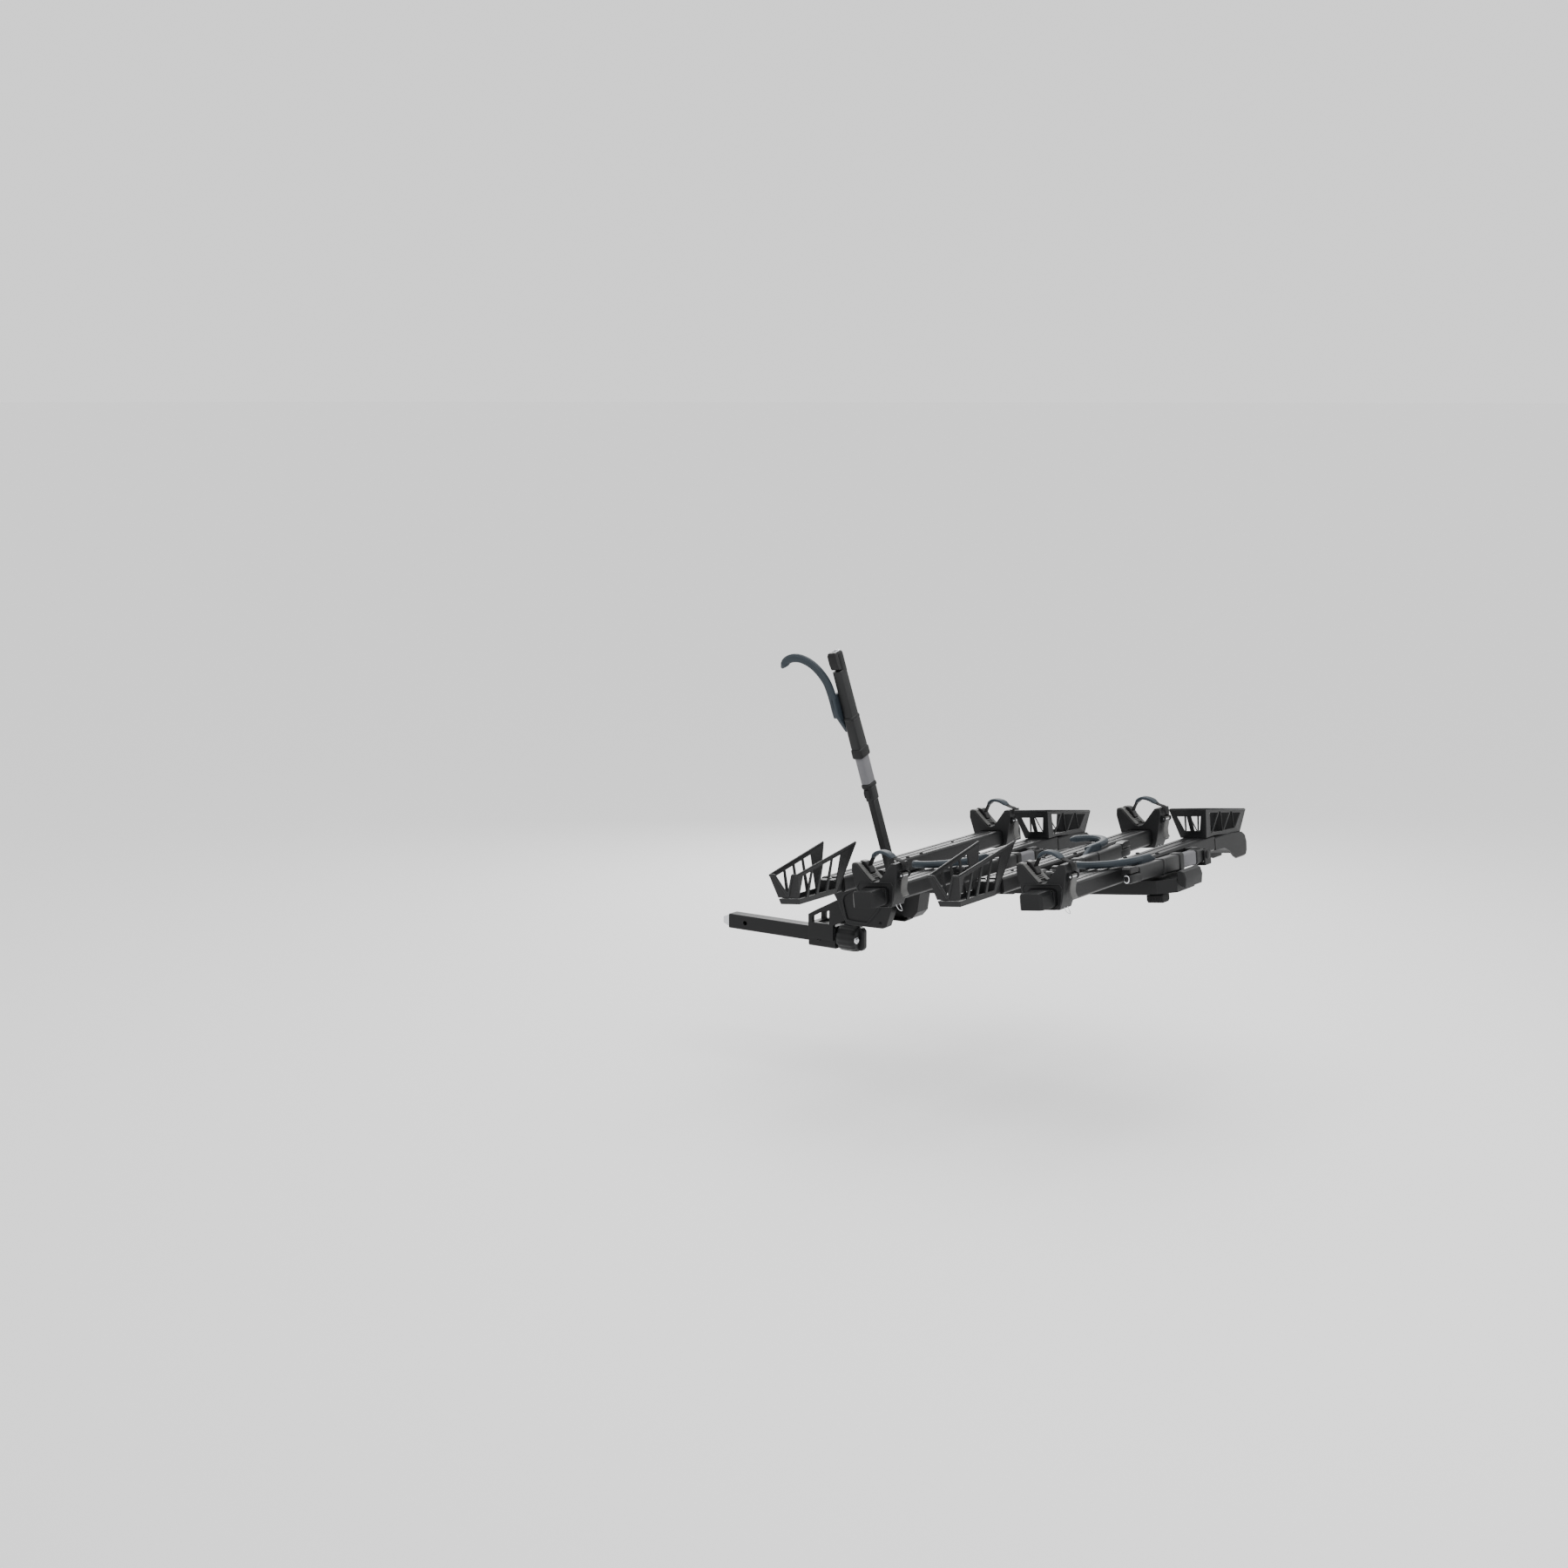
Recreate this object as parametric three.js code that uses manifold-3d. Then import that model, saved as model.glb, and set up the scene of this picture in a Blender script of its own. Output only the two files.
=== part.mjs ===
// A rack that carries four bicycles behind a vehicle, held in a 50.8 mm square receiver.
// Frame: +X to the vehicle's right, +Y forward, +Z up, origin on the receiver tube's axis
// at the centre of the hitch pin hole. Sizes are in millimetres, angles in degrees.
import * as THREE from 'three';
import { mergeVertices } from 'three/addons/utils/BufferGeometryUtils.js';
import Module from 'manifold-3d';

const wasm = await Module();
wasm.setup();

// Driving dimensions
const gap = 0.3;                      // clearance between touching pieces
const rackSlope = 6.2;                // the rear end of the rack stands this much higher
const firstTray = [0, -650, 250];     // centre of the first tray above the tube axis
const trayPitch = 290;
const traySides = [-1, 1, -1, 1];     // which end of each tray holds the front wheel
const beam = { half: 45, bottom: 8, top: 58, wall: 3, outerEnd: 646, innerEnd: 436 };
const capLength = 62;
const basket = { rimHigh: 161, rimLow: 105, floor: 10, inner: 381, outer: 702, wall: 4 };
const holder = { inner: 560, outer: 632, postTop: 130, troughLow: 72, postOut: 82, postIn: 62 };
const strap = { thick: 3, width: 25, anchorY: 38, anchorZ: 110, apexZ: 163 };
const armPivot = { x: 231, y: -93, z: 26 };
const armLean = 16.4;                 // a raised arm leans outward from upright
const armFolded = -88.5;              // a folded arm lies across the rack, rising a little
const armReach = { low: 9, high: 271 };
const armTubeLength = 440;
const armTubeSize = { halfX: 18, halfY: 11 };
const pinRadius = 8;
const rackPivot = { s: -150, z: -85, radius: 10 };
const tubeHalf = 25.4;                // half of the 50.8 mm receiver tube
const tubeWall = 6;
const tubeFront = 70;
const tubeRear = -386;
const spine = { half: 58, top: -4, bottom: -60, front: -18, rear: 430, wall: 5 };
const addon = { half: 100, tail: 60, bottom: -46, front: 440, taper: 965, rear: 1016 };

const radians = (degrees) => (degrees * Math.PI) / 180;

// ---- joining and cutting -------------------------------------------------------------

function toSolid(geometry) {
  const plain = geometry.clone();
  plain.deleteAttribute('normal');
  plain.deleteAttribute('uv');
  const merged = mergeVertices(plain, 1e-4);
  return new wasm.Manifold(new wasm.Mesh({
    numProp: 3,
    vertProperties: new Float32Array(merged.attributes.position.array),
    triVerts: new Uint32Array(merged.index.array),
  }));
}

function toGeometry(solid) {
  const mesh = solid.getMesh();
  const geometry = new THREE.BufferGeometry();
  const places = new Float32Array(mesh.vertProperties);
  geometry.setAttribute('position', new THREE.BufferAttribute(places, 3));
  geometry.setIndex(new THREE.BufferAttribute(new Uint32Array(mesh.triVerts), 1));
  geometry.computeVertexNormals();
  return geometry;
}

function join(...pieces) {
  return toGeometry(pieces.map(toSolid).reduce((whole, piece) => whole.add(piece)));
}

function cut(body, ...tools) {
  const start = toSolid(body);
  return toGeometry(tools.map(toSolid).reduce((rest, tool) => rest.subtract(tool), start));
}

function common(first, second) {
  return toGeometry(toSolid(first).intersect(toSolid(second)));
}

// The same piece for the other hand, mirrored across the YZ plane.
function mirrored(geometry) {
  const copy = toGeometry(toSolid(geometry));
  copy.scale(-1, 1, 1);
  const index = copy.index.array;
  for (let i = 0; i < index.length; i += 3) {
    [index[i + 1], index[i + 2]] = [index[i + 2], index[i + 1]];
  }
  return copy;
}

// ---- plain shapes --------------------------------------------------------------------

function extruded(points, depth, holes) {
  const shape = new THREE.Shape(points.map(([a, b]) => new THREE.Vector2(a, b)));
  for (const hole of holes) {
    shape.holes.push(new THREE.Path(hole.map(([a, b]) => new THREE.Vector2(a, b))));
  }
  return new THREE.ExtrudeGeometry(shape, { depth, bevelEnabled: false });
}

// A profile of [y, z] points carried from x0 to x1.
function prismX(points, x0, x1, holes = []) {
  const geometry = extruded(points, x1 - x0, holes);
  const turn = new THREE.Matrix4().makeBasis(
    new THREE.Vector3(0, 1, 0), new THREE.Vector3(0, 0, 1), new THREE.Vector3(1, 0, 0));
  return geometry.applyMatrix4(turn).translate(x0, 0, 0);
}

// A profile of [x, z] points carried from y0 to y1.
function prismY(points, y0, y1, holes = []) {
  const geometry = extruded(points, y1 - y0, holes);
  return geometry.rotateX(Math.PI / 2).translate(0, y1, 0);
}

// A profile of [x, y] points carried from z0 to z1.
function prismZ(points, z0, z1, holes = []) {
  return extruded(points, z1 - z0, holes).translate(0, 0, z0);
}

function box([x0, x1], [y0, y1], [z0, z1]) {
  const geometry = new THREE.BoxGeometry(x1 - x0, y1 - y0, z1 - z0);
  return geometry.translate((x0 + x1) / 2, (y0 + y1) / 2, (z0 + z1) / 2);
}

// A rectangle with its corners cut at 45 degrees.
function chamfered(a0, a1, b0, b1, corner) {
  return [[a0 + corner, b0], [a1 - corner, b0], [a1, b0 + corner], [a1, b1 - corner],
    [a1 - corner, b1], [a0 + corner, b1], [a0, b1 - corner], [a0, b0 + corner]];
}

function rodX(radius, x0, x1, y, z, sides = 16) {
  const geometry = new THREE.CylinderGeometry(radius, radius, x1 - x0, sides);
  return geometry.rotateZ(Math.PI / 2).translate((x0 + x1) / 2, y, z);
}

function rodY(radius, y0, y1, x, z, sides = 12) {
  const geometry = new THREE.CylinderGeometry(radius, radius, y1 - y0, sides);
  return geometry.translate(x, (y0 + y1) / 2, z);
}

// A band of even thickness along a smooth line through the given points.
function band(points, halfThickness, steps) {
  const line = new THREE.SplineCurve(points.map(([a, b]) => new THREE.Vector2(a, b)));
  const left = [];
  const right = [];
  for (let i = 0; i <= steps; i += 1) {
    const place = line.getPoint(i / steps);
    const along = line.getTangent(i / steps);
    left.push([place.x - along.y * halfThickness, place.y + along.x * halfThickness]);
    right.unshift([place.x + along.y * halfThickness, place.y - along.x * halfThickness]);
  }
  return [...left, ...right];
}

// Rack coordinates give the distance s to the rear, which is -Y.
const rearward = (points) => points.map(([s, z]) => [-s, z]);

// ---- pieces on the hitch -------------------------------------------------------------

function stingerTube() {
  const square = (half, corner) => chamfered(-half, half, -half, half, corner);
  const outer = square(tubeHalf, 3);
  const inner = square(tubeHalf - tubeWall, 1);
  const tube = prismY(outer, tubeRear, tubeFront, [inner]);
  return cut(tube, rodX(pinRadius, -40, 40, 0, 0));
}

function expansionWedge() {
  const wedge = prismX([[71, -19], [78, -19], [98, -11], [98, 11], [78, 19], [71, 19]], -19, 19);
  return join(wedge, rodY(6, -392, 75, 0, 0));
}

function hitchBracket(pivotY, pivotZ) {
  const collar = prismY(chamfered(-38, 38, -39, 38, 5), -388, -278);
  const cheek = [[-282, -10], [-282, 72], [-302, 84], [pivotY + 16, pivotZ + 35],
    [pivotY - 8, pivotZ + 37], [pivotY - 30, pivotZ + 22], [pivotY - 37, pivotZ],
    [pivotY - 26, pivotZ - 27], [-402, 52], [-384, 44], [-384, -10]];
  const web = box([-33, 33], [-304, -282], [30, 44]);
  const window = prismX([[-368, 46], [-299, 46], [-299, 66], [-336, 86], [-368, 94]], -60, 60);
  const bore = box([-tubeHalf - gap, tubeHalf + gap], [-400, -270], [-tubeHalf - gap, tubeHalf + gap]);
  const pinHole = rodX(rackPivot.radius + gap, -60, 60, pivotY, pivotZ);
  const body = join(collar, prismX(cheek, 32, 46), prismX(cheek, -46, -32), web);
  return cut(body, window, bore, pinHole);
}

function pivotPin(pivotY, pivotZ) {
  return rodX(rackPivot.radius, -49, 49, pivotY, pivotZ);
}

function clampKnob() {
  const profile = [[0, 0], [34, 0], [44, 6], [47, 14], [47, 60], [43, 74], [40, 78], [0, 78]];
  const turned = new THREE.LatheGeometry(profile.map(([r, y]) => new THREE.Vector2(r, y)), 20);
  turned.rotateX(Math.PI).translate(0, -388.5, 0);
  const wing = prismX([[-460, -42], [-478, -40], [-486, -30], [-486, 30], [-478, 40], [-460, 42]], -12, 12);
  return cut(join(turned, wing), rodY(7.5, -414, -380, 0, 0));
}

function lockCore() {
  return join(rodY(7.5, -474, -466.8, -27, 0), box([-28.5, -25.5], [-476, -473], [-5, 5]));
}

// ---- pieces of the folding rack, in its own tilted frame --------------------------------

function baseSpine() {
  const { half, top, bottom, front, rear, wall } = spine;
  const outer = chamfered(-half, half, bottom, top, 6);
  const inner = chamfered(-half + wall, half - wall, bottom + wall, top - wall, 2);
  const tube = prismY(outer, -rear, -front, [inner]);
  const plate = prismY(outer, -front - 8, -front);
  const nose = prismX(rearward([[10, -4], [-18, -4], [-110, -20], [-178, -52], [-192, -85],
    [-178, -116], [-150, -127], [-90, -118], [-18, -100], [10, -96]]), -28, 28);
  const heel = prismX(rearward([[-18, -58], [-18, -128], [-4, -144], [26, -148], [48, -128],
    [66, -58]]), -34, 34);
  const saddles = [0, 1].map((i) => box([-50, 50], [-i * trayPitch - 40, -i * trayPitch + 40],
    [top - 1, beam.bottom - gap]));
  saddles[0] = box([-50, 50], [-40, 17], [top - 1, beam.bottom - gap]);
  const bore = rodX(rackPivot.radius + gap, -60, 60, -rackPivot.s, rackPivot.z);
  return cut(join(tube, plate, nose, heel, ...saddles), bore);
}

function addonSpine() {
  const { half, tail, bottom, front, taper, rear } = addon;
  const plan = [[-half, -front], [half, -front], [half, -taper], [tail, -rear], [-tail, -rear],
    [-half, -taper]];
  const shell = prismZ(plan, bottom, spine.top);
  const cells = [];
  for (const side of [-1, 1]) {
    for (const start of [front + 14, front + 147, front + 280, front + 413]) {
      const across = side < 0 ? [-half + 6, -3] : [3, half - 6];
      cells.push(box(across, [-Math.min(start + 127, taper), -start], [bottom - 1, spine.top - 6]));
    }
  }
  const tongueHalf = spine.half - spine.wall - 1;
  const tongue = box([-tongueHalf, tongueHalf], [-front - 2, -spine.rear + 90],
    [spine.bottom + spine.wall + 8, spine.top - spine.wall - 1]);
  const saddles = [2, 3].map((i) => box([-50, 50], [-i * trayPitch - 40, -i * trayPitch + 40],
    [spine.top - 1, beam.bottom - gap]));
  return join(cut(shell, ...cells), tongue, ...saddles);
}

function sideCover() {
  const edge = [[-246, -59], [-233, -84], [-206, -160], [-190, -166], [-60, -176], [-46, -170],
    [-21, -116], [-20, -8], [-40, 4], [-175, 14], [-190, 8]];
  const [centreS, centreZ] = [-128, -78];
  const scaled = (points, size) => points.map(([s, z]) =>
    [centreS + (s - centreS) * size, centreZ + (z - centreZ) * size]);
  const recess = [[-212, -82], [-200, -62], [-159, -43], [-121, -41], [-62, -48], [-50, -75],
    [-68, -110], [-112, -152], [-130, -157], [-188, -150], [-202, -140]];
  const face = prismX(rearward(edge), 50, 85);
  const hollow = prismX(rearward(scaled(edge, 0.95)), 49, 81);
  const panel = prismX(rearward(recess), 83, 86);
  return cut(face, hollow, panel);
}

function rearFoot() {
  return prismY(chamfered(-88, -38, -76, addon.bottom - gap, 7), -978, -922);
}

function tiltLever() {
  const rear = addon.rear;
  const outline = rearward([[rear + 1, -8], [rear + 12, -28], [rear + 27, -34], [rear + 31, -4],
    [rear + 25, 16], [rear + 12, 22], [rear + 1, 18]]);
  const fingers = prismX(rearward([[rear - 5, -40], [rear + 20, -40], [rear + 22, -10],
    [rear + 12, 2], [rear - 5, -4]]), -50, 50);
  return cut(prismX(outline, -60, 60), fingers);
}

// ---- pieces of one tray; +X is the end that holds the front wheel ---------------------

function trayBeam() {
  const { half, bottom, top, wall, outerEnd, innerEnd } = beam;
  const outer = chamfered(-half, half, bottom, top, 6);
  const inner = chamfered(-half + wall, half - wall, bottom + wall, top - wall, 3);
  return prismX(outer, -outerEnd, innerEnd, [inner]);
}

function beamPlug(x0, x1) {
  const inset = beam.wall + 0.5;
  return prismX(chamfered(-beam.half + inset, beam.half - inset, beam.bottom + inset,
    beam.top - inset, 4), x0, x1);
}

function endCap() {
  const start = -beam.outerEnd - gap;
  const end = start - capLength;
  const [low, high] = [beam.bottom, beam.top - 1];
  const section = prismX([[-41, low], [41, low], [45, low + 8], [39, high - 10], [30, high], [-30, high],
    [-39, high - 10], [-45, low + 8]], end, start);
  const plan = prismZ([[start, -beam.half], [start, beam.half], [end + 8, 38], [end, 30], [end, -30],
    [end + 8, -38]], 0, 70);
  return join(common(section, plan), beamPlug(start - 1, start + 24));
}

function wheelBasket() {
  const { rimHigh, rimLow, floor, inner, outer, wall } = basket;
  const side = [[472, floor], [678, floor], [outer, rimLow], [inner, rimHigh]];
  const walls = (halfLow, halfHigh, low) =>
    [[-halfLow, low], [halfLow, low], [halfHigh, rimHigh + 6], [-halfHigh, rimHigh + 6]];
  const blank = common(prismX(walls(36, 66, floor), 370, 720), prismY(side, -90, 90));
  const hollow = prismY([[400, floor + wall], [678 - wall, floor + wall],
    [outer + 1, rimLow + 30], [300, rimHigh + 40]], -90, 90);
  const inside = common(prismX(walls(32, 62, floor + wall), 360, 697), hollow);
  const notch = prismX([[0, 34], [46, 130], [-46, 130]], 660, 730);
  const slots = [0, 1, 2, 3].map((i) => {
    const start = 468 + i * 54;
    const rim = rimHigh - ((start - inner) / (outer - inner)) * (rimHigh - rimLow);
    return prismY([[start + 14, 28], [start + 54, 28], [start + 40, rim - 19], [start - 4, rim - 12]],
      -90, 90);
  });
  const neck = prismX(chamfered(-36, 36, floor, beam.top - 4, 5), beam.innerEnd + gap, 480);
  const tongue = beamPlug(beam.innerEnd - 40, beam.innerEnd + 2);
  return join(cut(blank, inside, notch, ...slots), neck, tongue);
}

// A basket that stands on a moulded body whose rounded nose hangs below the tray.
function nosedBasket() {
  const start = beam.innerEnd + gap;
  const side = [[374, 58.4], [437, 58.4], [634, 38], [660, 113], [343, 157]];
  const walls = (low, high, floor) => [[-low, floor], [low, floor], [high, 163], [-high, 163]];
  const blank = common(prismX(walls(40, 67, 30), 330, 670), prismY(side, -90, 90));
  const inside = common(prismX(walls(36, 63, 30), 330, 670),
    prismY([[381, 63], [437, 63], [628, 46], [657, 140], [330, 190]], -90, 90));
  const rim = (x) => 145 - ((x - 343) / 317) * 44;
  const foot = (x) => 84 - x * 0.04;
  const hanging = [375, 465, 555].map((x) => prismY([[x, rim(x)], [x + 66, rim(x + 66)],
    [x + 38, foot(x)], [x + 30, foot(x)]], -90, 90));
  const standing = [416, 506].map((x) => prismY([[x, foot(x)], [x + 78, foot(x + 78)],
    [x + 43, rim(x + 14)], [x + 34, rim(x + 8)]], -90, 90));
  const endSlots = [-1, 1].map((way) =>
    prismX([[way * 6, 82], [way * 28, 82], [way * 42, 132], [way * 8, 132]], 330, 398));
  const body = prismY([[start, beam.top - 2], [590, 44], [640, 40], [664, 26], [673, 2], [670, -26],
    [658, -43], [636, -50], [600, -47], [568, -32], [536, -6], [500, 6], [start, beam.bottom + 1]], -46, 46);
  const rounded = prismX(chamfered(-46, 46, -50, beam.top, 12), start, 680);
  const hollow = prismY([[552, 34], [636, 34], [658, 20], [665, -8], [662, -80], [552, -80]], -41, 41);
  const keel = common(body, rounded);
  return join(cut(blank, inside, ...hanging, ...standing, ...endSlots), cut(keel, hollow),
    beamPlug(start - 40, start + 2));
}

function wheelHolder() {
  const { inner, outer, postTop, troughLow, postOut, postIn } = holder;
  const clear = 0.5;
  const outline = [[-52, -3], [52, -3], [62, 20], [postOut, 108], [postOut - 2, postTop],
    [postIn, postTop], [14, troughLow + 4], [0, troughLow], [-14, troughLow + 4],
    [-postIn, postTop], [-postOut + 2, postTop], [-postOut, 108], [-62, 20]];
  const channel = chamfered(-beam.half - clear, beam.half + clear, beam.bottom - clear,
    beam.top + clear, 6);
  return prismX(outline, -outer, -inner, [channel]);
}

function wheelStrap() {
  const { anchorY, anchorZ, apexZ, thick, width } = strap;
  const line = [[anchorY, anchorZ + 4], [anchorY - 12, 138], [10, 157], [-8, apexZ], [-34, 157],
    [-58, 142], [-80, 133.5], [-88, 124], [-89, 108]];
  const middle = -(holder.inner + holder.outer) / 2;
  return prismX(band(line, thick / 2, 14), middle - width / 2, middle + width / 2);
}

function strapBuckle() {
  const middle = -(holder.inner + holder.outer) / 2;
  const line = [[-86, 94], [-85, 76], [-81, 58], [-80, 42], [-84, 28]];
  return prismX(band(line, 4, 8), middle - 17, middle + 17);
}

function armBracket() {
  const inside = -beam.half - gap;
  const near = armPivot.y + 15.6;
  const far = armPivot.y - 15.6;
  const outline = [[inside, 50], [inside - 22, 50], [near, 44], [near, 1], [far, 1],
    [far, 44], [far - 6, 44], [far - 6, -6], [inside, -6]];
  const body = prismX(outline, armPivot.x - 20, armPivot.x + 24);
  return cut(body, rodY(pinRadius + gap, -120, -30, armPivot.x, armPivot.z));
}

function armPin() {
  return rodY(pinRadius, armPivot.y - 24, -46, armPivot.x, armPivot.z);
}

// The arm's pieces stand along +Z from the pivot; +X is the outer side of a raised arm
// and +Y faces the vehicle.
function armTube() {
  const { halfX, halfY } = armTubeSize;
  const bar = prismZ(chamfered(-halfX, halfX, -halfY, halfY, 3), 0, armTubeLength);
  const solid = join(rodY(halfX + 2, -halfY, halfY, 0, 0, 20), bar);
  const hollow = box([3 - halfX, halfX - 3], [3 - halfY, halfY - 3], [34, armTubeLength + 1]);
  return cut(solid, hollow, rodY(pinRadius + gap, -20, 20, 0, 0));
}

function armSleeve() {
  const segments = [[0, 152, 22, 15], [152, 181, 28, 19], [181, 285, 26, 18], [285, 446, 24, 16]];
  const solids = segments.map(([low, high, halfX, halfY]) =>
    prismZ(chamfered(-halfX, halfX, -halfY, halfY, 5), low, high));
  const head = prismZ(chamfered(-24, 6, -16, 16, 5), 440, 506);
  const hollow = box([-armTubeSize.halfX - 0.6, armTubeSize.halfX + 0.6],
    [-armTubeSize.halfY - 0.6, armTubeSize.halfY + 0.6], [-1, armTubeLength + 2]);
  return cut(join(...solids, head), hollow);
}

function armHook() {
  const line = [[30, 300], [30, 380], [40, 430], [70, 476], [112, 502], [156, 502], [190, 476]];
  const arch = prismX(band(line, 12, 16), 22, 44);
  const foot = prismY([[-16, 240], [10, 236], [34, 286], [44, 308], [44, 372], [-16, 372]], 18.4, 32);
  return join(arch, foot);
}

function releaseLever() {
  return prismY([[8, 449], [23, 453], [27, 472], [27, 500], [20, 508], [8, 508]], -15, 15);
}

// ---- materials ---------------------------------------------------------------------------

function finish(colour, roughness, metalness) {
  return () => new THREE.MeshStandardMaterial({ color: colour, roughness, metalness });
}

const blackPaint = finish(0x26272a, 0.5, 0.3);
const blackPlastic = finish(0x232427, 0.6, 0);
const greySleeve = finish(0x4a4c4d, 0.45, 0.4);
const bluePad = finish(0x46525c, 0.55, 0);
const greyPlastic = finish(0x787876, 0.55, 0);
const darkRubber = finish(0x1c1c1e, 0.85, 0);
const brightSteel = finish(0xb8bbbe, 0.3, 1);

// ---- assembly ------------------------------------------------------------------------------

function add(parent, name, geometry, material) {
  const mesh = new THREE.Mesh(geometry, material());
  mesh.name = name;
  parent.add(mesh);
}

function groupAt(parent, x, y, z) {
  const group = new THREE.Group();
  group.position.set(x, y, z);
  parent.add(group);
  return group;
}

function addTray(rack, number, side) {
  const tray = groupAt(rack, 0, -(number - 1) * trayPitch, 0);
  const handed = (geometry) => (side > 0 ? geometry : mirrored(geometry));
  const put = (parent, name, geometry, material) =>
    add(parent, `${name}_${number}`, handed(geometry), material);
  put(tray, 'tray_beam', trayBeam(), blackPaint);
  put(tray, 'end_cap', endCap(), blackPlastic);
  put(tray, 'wheel_basket', side > 0 ? nosedBasket() : wheelBasket(), blackPlastic);
  put(tray, 'wheel_holder', wheelHolder(), blackPlastic);
  put(tray, 'wheel_strap', wheelStrap(), darkRubber);
  put(tray, 'strap_buckle', strapBuckle(), greyPlastic);
  put(tray, 'arm_bracket', armBracket(), blackPaint);
  put(tray, 'arm_pin', armPin(), brightSteel);
  const raised = number === 1;
  const arm = groupAt(tray, side * armPivot.x, armPivot.y, armPivot.z);
  arm.rotation.y = side * radians(raised ? armLean : armFolded);
  put(arm, 'arm_tube', armTube(), greySleeve);
  const slider = groupAt(arm, 0, 0, raised ? armReach.high : armReach.low);
  put(slider, 'arm_sleeve', armSleeve(), greySleeve);
  put(slider, 'arm_hook', armHook(), bluePad);
  put(slider, 'release_lever', releaseLever(), blackPlastic);
}

const hitchRack = new THREE.Group();
const rack = groupAt(hitchRack, ...firstTray);
rack.rotation.x = -radians(rackSlope);

// The rack's pivot, seen in the frame of the hitch.
const pivot = new THREE.Vector3(0, -rackPivot.s, rackPivot.z)
  .applyAxisAngle(new THREE.Vector3(1, 0, 0), -radians(rackSlope))
  .add(new THREE.Vector3(...firstTray));

add(hitchRack, 'stinger', stingerTube(), blackPaint);
add(hitchRack, 'expansion_wedge', expansionWedge(), brightSteel);
add(hitchRack, 'hitch_bracket', hitchBracket(pivot.y, pivot.z), blackPaint);
add(hitchRack, 'pivot_pin', pivotPin(pivot.y, pivot.z), brightSteel);
add(hitchRack, 'clamp_knob', clampKnob(), blackPlastic);
add(hitchRack, 'lock_core', lockCore(), brightSteel);
add(rack, 'base_spine', baseSpine(), blackPaint);
add(rack, 'side_cover_right', sideCover(), blackPlastic);
add(rack, 'side_cover_left', mirrored(sideCover()), blackPlastic);
add(rack, 'addon_spine', addonSpine(), blackPaint);
add(rack, 'tilt_lever', tiltLever(), blackPlastic);
add(rack, 'rear_foot', rearFoot(), darkRubber);
traySides.forEach((side, index) => addTray(rack, index + 1, side));

export default hitchRack;
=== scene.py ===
import math

import bmesh
import bpy
from mathutils import Matrix, Vector


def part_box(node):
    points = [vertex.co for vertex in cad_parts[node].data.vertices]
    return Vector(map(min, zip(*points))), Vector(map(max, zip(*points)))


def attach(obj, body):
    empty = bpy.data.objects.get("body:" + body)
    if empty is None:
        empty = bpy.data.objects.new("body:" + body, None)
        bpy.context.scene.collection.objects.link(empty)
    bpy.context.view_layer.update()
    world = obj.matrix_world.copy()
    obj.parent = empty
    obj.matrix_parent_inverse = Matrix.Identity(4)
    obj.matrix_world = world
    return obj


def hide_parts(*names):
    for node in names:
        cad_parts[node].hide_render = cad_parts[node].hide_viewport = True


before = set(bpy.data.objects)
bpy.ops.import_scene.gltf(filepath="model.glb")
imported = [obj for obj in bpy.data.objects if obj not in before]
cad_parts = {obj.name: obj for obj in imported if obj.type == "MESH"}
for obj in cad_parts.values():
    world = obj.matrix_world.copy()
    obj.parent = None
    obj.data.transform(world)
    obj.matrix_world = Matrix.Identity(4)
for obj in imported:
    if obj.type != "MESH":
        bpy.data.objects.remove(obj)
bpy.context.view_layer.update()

# Driving dimensions, in metres and degrees, the same as the CAD model's.
RACK_SLOPE = 6.2
FIRST_TRAY = Vector((0.0, -0.650, 0.250))
TRAY_PITCH = 0.290
TRAY_SIDES = (-1, 1, -1, 1)
ARM_PIVOT = Vector((0.231, -0.093, 0.026))
ARM_LEAN = 16.4
ARM_FOLDED = -88.5
ARM_LOW, ARM_HIGH = 0.009, 0.271
HOLDER_X = -0.596
BEAM_TOP = 0.058
TRAYS = len(TRAY_SIDES)

# The camera that was fitted to the photo, and the room.
CAMERA_PLACE = (-6.657, -4.824, 1.812)
CAMERA_DOWN, CAMERA_HEADING = 9.145, -54.92
CAMERA_LENS, SENSOR_WIDTH = 55.14, 36.0
FLOOR_LEVEL, FLOOR_REACH = -0.42, 900.0


# ---- camera, light and floor ---------------------------------------------------------

def make_camera():
    data = bpy.data.cameras.new("camera")
    data.lens = CAMERA_LENS
    data.sensor_width = SENSOR_WIDTH
    data.clip_end = 2000.0
    camera = bpy.data.objects.new("camera", data)
    camera.location = CAMERA_PLACE
    camera.rotation_euler = (math.radians(90 - CAMERA_DOWN), 0.0, math.radians(CAMERA_HEADING))
    bpy.context.scene.collection.objects.link(camera)
    bpy.context.scene.camera = camera


def make_light(name, place, aim, size, power):
    data = bpy.data.lights.new(name, "AREA")
    data.shape = "RECTANGLE"
    data.size, data.size_y = size
    data.energy = power
    lamp = bpy.data.objects.new(name, data)
    lamp.location = place
    lamp.rotation_euler = (Vector(aim) - Vector(place)).to_track_quat("-Z", "Y").to_euler()
    bpy.context.scene.collection.objects.link(lamp)


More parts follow.
